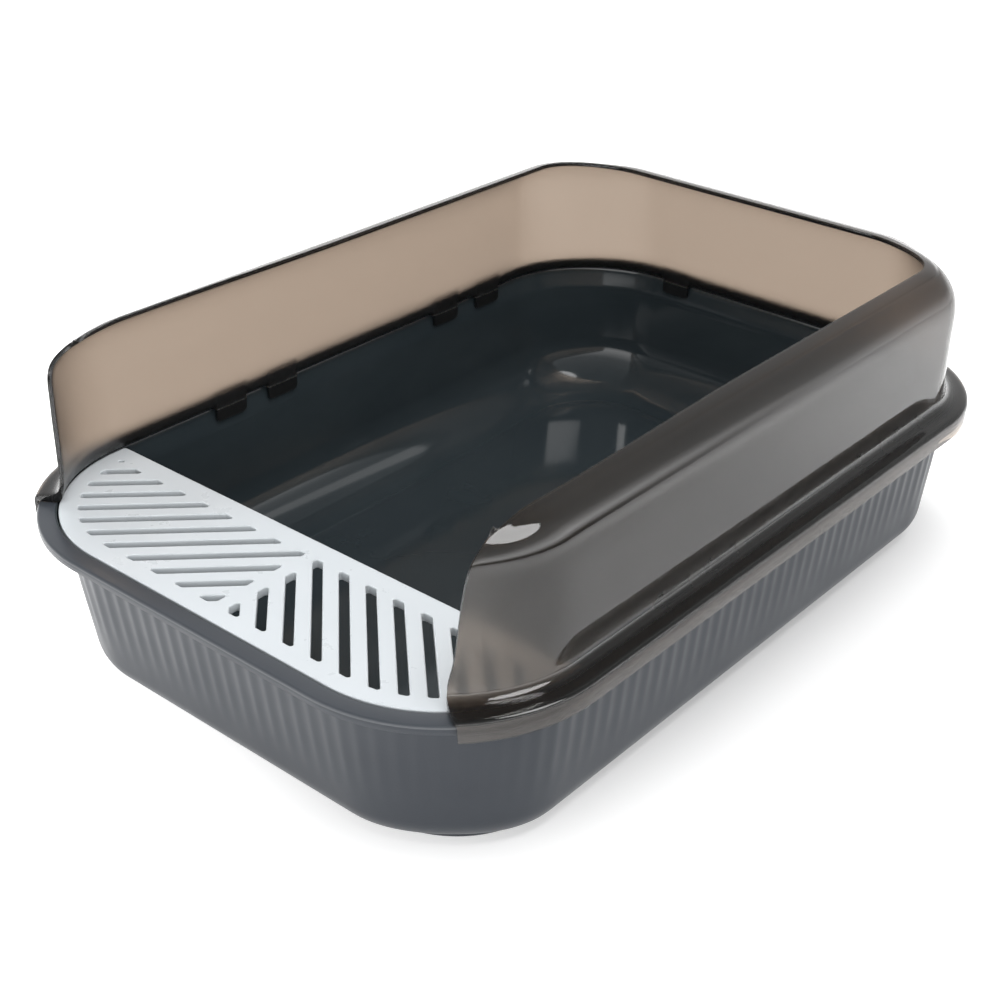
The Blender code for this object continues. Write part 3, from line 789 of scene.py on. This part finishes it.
def build_surround():
    marks = surround_marks()
    flat = []
    for j, (s, r, e) in enumerate(OUTER):
        lw = LIP_WEIGHT.get(j, 0.0)
        lm = smoothstep(13.0, 15.0, j)
        flat.append((*s, *r, *e, REAR_CUT[j], lw, lm))
    knots = [0.0]
    for a, b in zip(flat, flat[1:]):
        knots.append(knots[-1] + max(0.8, math.hypot(a[0] - b[0], a[1] - b[1])) ** 0.75)
    fine = spline(flat, knots, ROW_STEPS, first=1)
    grid = []
    for t, v in fine:
        side, rear, end = v[0:2], v[2:4], v[4:7]
        lip = (min(1.0, max(0.0, v[8])), min(1.0, max(0.0, v[9])))
        grid.append([surround_point(mk, side, rear, end, lip, v[7]) for mk in marks])
    m, n = len(fine), len(marks)

    # crease: a fine groove where the roll meets the lip band, fading out at the ends
    crease = min(range(m), key=lambda i: abs(fine[i][0] - 15.0))
    depth = {0: 0.00045, -1: 0.00010, 1: 0.00010}
    normals = []
    for j in range(m):
        line = []
        for i in range(n):
            du = grid[j][min(i + 1, n - 1)] - grid[j][max(i - 1, 0)]
            dv = grid[min(j + 1, m - 1)][i] - grid[max(j - 1, 0)][i]
            line.append(du.cross(dv).normalized())
        normals.append(line)

    # inner skin
    foot_flat = [(*s, *r) for s, r in INNER_FOOT]
    inner = []
    for j, (t, v) in enumerate(fine):
        line = []
        for i, mk in enumerate(marks):
            if t <= 6.0:
                k = min(int(t), 5)
                u = t - k
                a = foot_flat[k]
                b = foot_flat[k + 1]
                f = [p + (q - p) * u for p, q in zip(a, b)]
                if clip_mark(mk) and t >= 4.0:
                    w = min(1.0, t - 4.0)
                    f[0] += (TONGUE_OUT - (TONGUE_OUT - TONGUE_IN) * (t - 5.0) - f[0]) * w if t >= 5.0 \
                        else (TONGUE_OUT - f[0]) * w
                    f[2] = f[0]
                ends = (v[4], f[0], f[1])
                line.append(surround_point(mk, f[0:2], f[2:4], ends, None, 1.0))
            else:
                line.append(grid[j][i] - normals[j][i] * SUR_T)
        inner.append(line)
    six = min(range(m), key=lambda i: abs(fine[i][0] - 6.0))
    seven = min(range(m), key=lambda i: abs(fine[i][0] - 7.0))
    for j in range(six + 1, seven):
        u = (fine[j][0] - 6.0)
        for i in range(n):
            inner[j][i] = inner[six][i].lerp(inner[seven][i], u)

    for i, (kind, amount, sign) in enumerate(marks):
        keep = 1.0
        if kind == "end":
            keep = 1.0 - smoothstep(0.15, 0.55, amount)
        for dj, dd in depth.items():
            grid[crease + dj][i] = grid[crease + dj][i] - normals[crease + dj][i] * dd * keep

    bm = bmesh.new()
    layer = bm.verts.layers.float.new("inner")
    out_v = [[bm.verts.new(p) for p in line] for line in grid]
    in_v = [[bm.verts.new(p) for p in line] for line in inner]
    for j, line in enumerate(in_v):
        for v in line:
            v[layer] = 1.0 if fine[j][0] >= 4.0 else 0.0
    foot_faces = {}
    foot_row = [j for j in range(m - 1) if 5.0 - 1e-6 <= fine[j][0] < 6.0 - 1e-6]
    for i in range(n - 1):
        for j in range(m - 1):
            bm.faces.new((out_v[j][i], out_v[j][i + 1], out_v[j + 1][i + 1], out_v[j + 1][i]))
            f = bm.faces.new((in_v[j][i + 1], in_v[j][i], in_v[j + 1][i], in_v[j + 1][i + 1]))
            if j in foot_row:
                foot_faces.setdefault(i, []).append(f)
        bm.faces.new((out_v[0][i + 1], out_v[0][i], in_v[0][i], in_v[0][i + 1]))
        bm.faces.new((out_v[m - 1][i], out_v[m - 1][i + 1], in_v[m - 1][i + 1], in_v[m - 1][i]))
    for j in range(m - 1):
        bm.faces.new((out_v[j][0], out_v[j + 1][0], in_v[j + 1][0], in_v[j][0]))
        bm.faces.new((out_v[j + 1][-1], out_v[j][-1], in_v[j][-1], in_v[j + 1][-1]))

    # clip tongues: drawn down from the inner foot, just inside the rim
    def clip_at(a, b):
        if a[0] != b[0]:
            return None
        mid = (a[1] + b[1]) / 2
        if a[0] == "side":
            for y in CLIP_Y:
                if abs(mid - y) < CLIP_HALF:
                    return (a[2], y)
        if a[0] == "rear" and abs(abs(mid) - CLIP_X) < CLIP_X_HALF:
            return (0, math.copysign(CLIP_X, mid))
        return None

    groups = {}
    for i in range(n - 1):
        key = clip_at(marks[i], marks[i + 1])
        if key:
            groups.setdefault(key, []).extend(foot_faces[i])
    for key, faces in groups.items():
        grown = bmesh.ops.extrude_face_region(bm, geom=faces)
        for v in grown["geom"]:
            if isinstance(v, bmesh.types.BMVert):
                along = abs(v.co.y - key[1]) if key[0] else abs(v.co.x - key[1])
                inset = (CLIP_HALF if key[0] else CLIP_X_HALF) - along
                t = min(1.0, max(0.0, inset / 0.0030))
                v.co.z = Z_RIM - CLIP_DEPTH + 0.0030 * (1 - math.sqrt(t * (2 - t)))
        bmesh.ops.delete(bm, geom=faces, context='FACES_ONLY')
    bmesh.ops.recalc_face_normals(bm, faces=bm.faces[:])
    obj = to_object("surround_shell", bm, [SURROUND], None, recalc=False)
    bevel = obj.modifiers.new("soft_edges", 'BEVEL')
    bevel.limit_method = 'ANGLE'
    bevel.angle_limit = math.radians(48)
    bevel.width = 0.0005
    bevel.segments = 3
    bevel.use_clamp_overlap = True
    bevel.harden_normals = False
    return obj


tray = build_tray()
tray_skin = build_tray_wall_skin()
grate = build_grate()
surround = build_surround()

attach(tray, "tray")
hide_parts("tray")
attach(tray_skin, "tray")
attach(grate, "grate")
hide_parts("step_grate")
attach(surround, "surround")
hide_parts("surround")

# ------------------------------------------------------------------------ stage
mat, nt, bsdf, tex = new_material("studio_floor")
bsdf.inputs["Roughness"].default_value = 0.9
bsdf.inputs["Specular IOR Level"].default_value = 0.0
bsdf.inputs["Emission Color"].default_value = (1.0, 1.0, 1.0, 1.0)
# the white sweep glows by itself (painted light), and glows less on the right of the box: a painted soft shadow there
reach = nt.nodes.new("ShaderNodeVectorMath")
reach.operation = 'SUBTRACT'
reach.inputs[1].default_value = (0.32, 0.04, 0.0)
nt.links.new(tex.outputs["Object"], reach.inputs[0])
span = nt.nodes.new("ShaderNodeVectorMath")
span.operation = 'LENGTH'
nt.links.new(reach.outputs["Vector"], span.inputs[0])
floor_glow_with_painted_shadow = spread(nt, span.outputs["Value"], 0.22, 1.10, 0.12, 0.66)
floor_glow_with_painted_shadow.interpolation_type = 'SMOOTHSTEP'
nt.links.new(floor_glow_with_painted_shadow.outputs["Result"], bsdf.inputs["Emission Strength"])
tone = ramp(nt, noise(nt, tex, 3.0, 2.0).outputs["Fac"], [(0.3, (0.68, 0.68, 0.68)), (0.7, (0.685, 0.685, 0.685))])
nt.links.new(tone.outputs["Color"], bsdf.inputs["Base Color"])
bm = bmesh.new()
bmesh.ops.create_grid(bm, x_segments=8, y_segments=8, size=12.0)
for v in bm.verts:
    v.co.z = -0.0002
floor = to_object("studio_floor", bm, [mat], None)

world = bpy.data.worlds.new("studio")
scene.world = world
world.use_nodes = True
wt = world.node_tree
sky = wt.nodes.new("ShaderNodeTexCoord")
axes = wt.nodes.new("ShaderNodeSeparateXYZ")
wt.links.new(sky.outputs["Generated"], axes.inputs["Vector"])
def sky_ramp(stops):
    r = wt.nodes.new("ShaderNodeValToRGB")           # sine of the elevation
    while len(r.color_ramp.elements) < len(stops):
        r.color_ramp.elements.new(0.5)
    for e, (pos, v) in zip(r.color_ramp.elements, stops):
        e.position = pos
        e.color = (v, v, v, 1.0)
    wt.links.new(axes.outputs["Z"], r.inputs["Fac"])
    return r


side_sky = sky_ramp([(0.0, 0.10), (0.07, 0.12), (0.22, 3.20), (0.50, 0.75), (1.0, 0.12)])
rear_sky = sky_ramp([(0.0, 2.00), (0.10, 1.50), (0.26, 0.75), (0.50, 0.50), (1.0, 0.14)])
turn = wt.nodes.new("ShaderNodeVectorMath")           # grows from the right side to the rear
turn.operation = 'DOT_PRODUCT'
turn.inputs[1].default_value = (-0.766, 0.643, 0.0)
wt.links.new(sky.outputs["Generated"], turn.inputs[0])
share = wt.nodes.new("ShaderNodeMapRange")
share.inputs["From Min"].default_value = -0.10
share.inputs["From Max"].default_value = 0.10
wt.links.new(turn.outputs["Value"], share.inputs["Value"])
blend = wt.nodes.new("ShaderNodeMix")
blend.data_type = 'RGBA'
wt.links.new(share.outputs["Result"], blend.inputs["Factor"])
wt.links.new(side_sky.outputs["Color"], blend.inputs["A"])
wt.links.new(rear_sky.outputs["Color"], blend.inputs["B"])
bg = wt.nodes["Background"]
rays = wt.nodes.new("ShaderNodeLightPath")           # the backdrop itself is plain white
plain = wt.nodes.new("ShaderNodeMix")
plain.data_type = 'RGBA'
plain.inputs["B"].default_value = (1.0, 1.0, 1.0, 1.0)
wt.links.new(rays.outputs["Is Camera Ray"], plain.inputs["Factor"])
wt.links.new(blend.outputs["Result"], plain.inputs["A"])
wt.links.new(plain.outputs["Result"], bg.inputs["Color"])
bg.inputs["Strength"].default_value = 1.0


def softbox(name, azimuth, elevation, distance, size, power, size_y=None, gloss_only=False,
            soft_only=False, only_on=None):
    """Area light; azimuth in degrees from -Y towards +X. A size_y makes it a rectangle."""
    light = bpy.data.lights.new(name, 'AREA')
    light.shape = 'RECTANGLE' if size_y else 'DISK'
    light.size = size
    if size_y:
        light.size_y = size_y
    light.energy = power
    obj = bpy.data.objects.new(name, light)
    a, e = math.radians(azimuth), math.radians(elevation)
    d = Vector((math.sin(a) * math.cos(e), -math.cos(a) * math.cos(e), math.sin(e)))
    obj.location = Vector((0, 0, 0.08)) + d * distance
    obj.rotation_mode = 'QUATERNION'
    obj.rotation_quaternion = d.to_track_quat('Z', 'Y')
    obj.visible_diffuse = not gloss_only
    obj.visible_glossy = not soft_only
    if only_on:
        lit = bpy.data.collections.new(name + "_lit")
        lit.objects.link(only_on)
        obj.light_linking.receiver_collection = lit
    scene.collection.objects.link(obj)
    return obj


softbox("dish_right_high", 115.0, 61.0, 4.0, 1.85, 54.0, None, True)
softbox("panel_left", -105.0, 42.0, 2.2, 1.2, 22.0, 1.0, False, True)
softbox("panel_top", 70.0, 76.0, 2.0, 1.4, 39.0, 1.4, False, True)
softbox("panel_back_right", 160.0, 45.0, 3.0, 1.9, 2.2, 0.34, True, False, tray)
softbox("strip_right", 76.0, 36.0, 2.4, 1.45, 38.0, 0.60, True, False, tray_skin)
softbox("strip_front", -5.0, 33.0, 2.4, 0.36, 14.0, 0.50, True, False, tray_skin)

# ----------------------------------------------------------------------- camera
cam_data = bpy.data.cameras.new("camera")
cam = bpy.data.objects.new("camera", cam_data)
scene.collection.objects.link(cam)
az, el, roll = math.radians(39.3993), math.radians(29.4759), math.radians(1.3584)
back = Vector((math.sin(az) * math.cos(el), -math.cos(az) * math.cos(el), math.sin(el)))
right = (-back).cross(Vector((0, 0, 1))).normalized()
up = right.cross(-back).normalized()
r2 = right * math.cos(roll) + up * math.sin(roll)
u2 = -right * math.sin(roll) + up * math.cos(roll)
rot = Matrix((r2, u2, back)).transposed()
cam.matrix_world = Matrix.Translation(Vector((0.036, -0.0759, 0.098)) + back * 0.9547) @ rot.to_4x4()
cam_data.sensor_width = 36.0
cam_data.lens = 36.0 * 1655.53 / 1000.0
cam_data.clip_start, cam_data.clip_end = 0.01, 100.0
scene.camera = cam

scene.view_settings.view_transform = 'Standard'
scene.view_settings.look = 'None'

bpy.context.view_layer.update()
